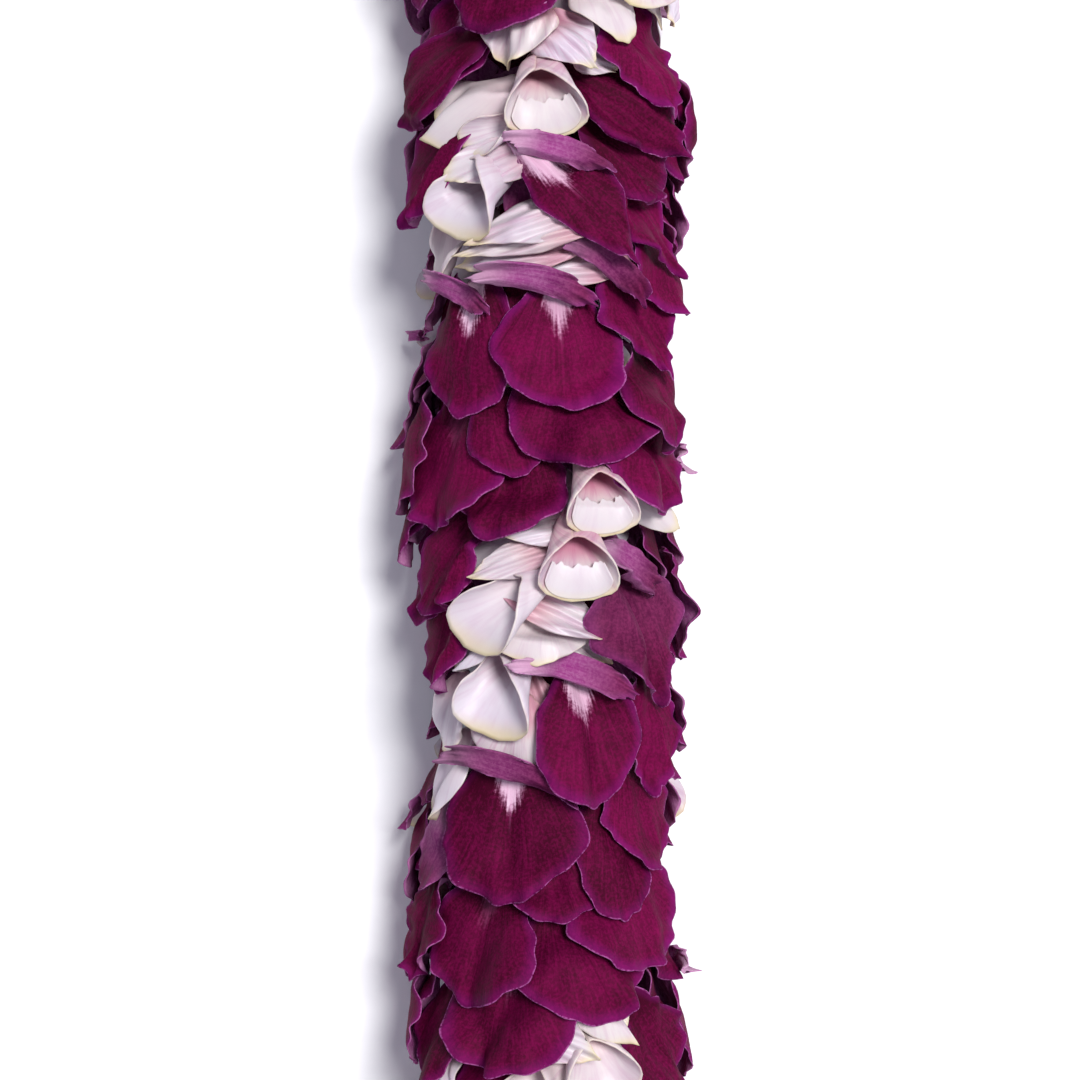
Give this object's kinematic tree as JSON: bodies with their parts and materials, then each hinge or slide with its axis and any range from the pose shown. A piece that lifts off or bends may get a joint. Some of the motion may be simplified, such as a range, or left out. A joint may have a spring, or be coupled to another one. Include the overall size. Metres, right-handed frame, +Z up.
{
  "type": "fresh flower lei",
  "caption": "Closed neck garland of fresh petals threaded on a string, with a white band running round wine-red petals as a spiral, laid flat in a D shape.",
  "frame": {"origin": "centre of the lei's outline, on the surface it lies on", "axes": "+Z up from that surface, +Y along the straight run of the lei, +X from the bowed run to the straight run"},
  "size_m": [0.2529, 0.4811, 0.0545],
  "materials": {
    "wine_petal": "fresh wine-red petal with velvety face, magenta rim, dark veins and a pale pink blaze at its base",
    "white_petal": "fresh waxy white petal, flushed pink in its folds, with a cream-yellow tip",
    "thread": "undyed twisted cotton string"
  },
  "bodies": {
    "root": {"wine_petals_01": "wine_petal", "wine_petals_02": "wine_petal", "wine_petals_03": "wine_petal", "wine_petals_04": "wine_petal", "wine_petals_05": "wine_petal", "wine_petals_06": "wine_petal", "wine_petals_07": "wine_petal", "wine_petals_08": "wine_petal", "wine_petals_09": "wine_petal", "wine_petals_10": "wine_petal", "wine_petals_11": "wine_petal", "wine_petals_12": "wine_petal", "wine_petals_13": "wine_petal", "wine_petals_14": "wine_petal", "wine_petals_15": "wine_petal", "wine_petals_16": "wine_petal", "wine_petals_17": "wine_petal", "wine_petals_18": "wine_petal", "wine_petals_19": "wine_petal", "wine_petals_20": "wine_petal", "wine_petals_21": "wine_petal", "wine_petals_22": "wine_petal", "wine_petals_23": "wine_petal", "wine_petals_24": "wine_petal", "wine_petals_25": "wine_petal", "wine_petals_26": "wine_petal", "wine_petals_27": "wine_petal", "wine_petals_28": "wine_petal", "wine_petals_29": "wine_petal", "white_petals_01": "white_petal", "white_petals_02": "white_petal", "white_petals_03": "white_petal", "white_petals_04": "white_petal", "white_petals_05": "white_petal", "white_petals_06": "white_petal", "white_petals_07": "white_petal", "white_petals_08": "white_petal", "white_petals_09": "white_petal", "white_petals_10": "white_petal", "white_petals_11": "white_petal", "white_petals_12": "white_petal", "white_petals_13": "white_petal", "white_petals_14": "white_petal", "white_petals_15": "white_petal", "white_petals_16": "white_petal", "white_petals_17": "white_petal", "white_petals_18": "white_petal", "white_petals_19": "white_petal", "white_petals_20": "white_petal", "white_petals_21": "white_petal", "white_petals_22": "white_petal", "white_petals_23": "white_petal", "white_petals_24": "white_petal", "white_petals_25": "white_petal", "white_petals_26": "white_petal", "white_petals_27": "white_petal", "white_petals_28": "white_petal", "white_petals_29": "white_petal", "thread": "thread", "thread_knot": "thread"}
  },
  "joints": []
}
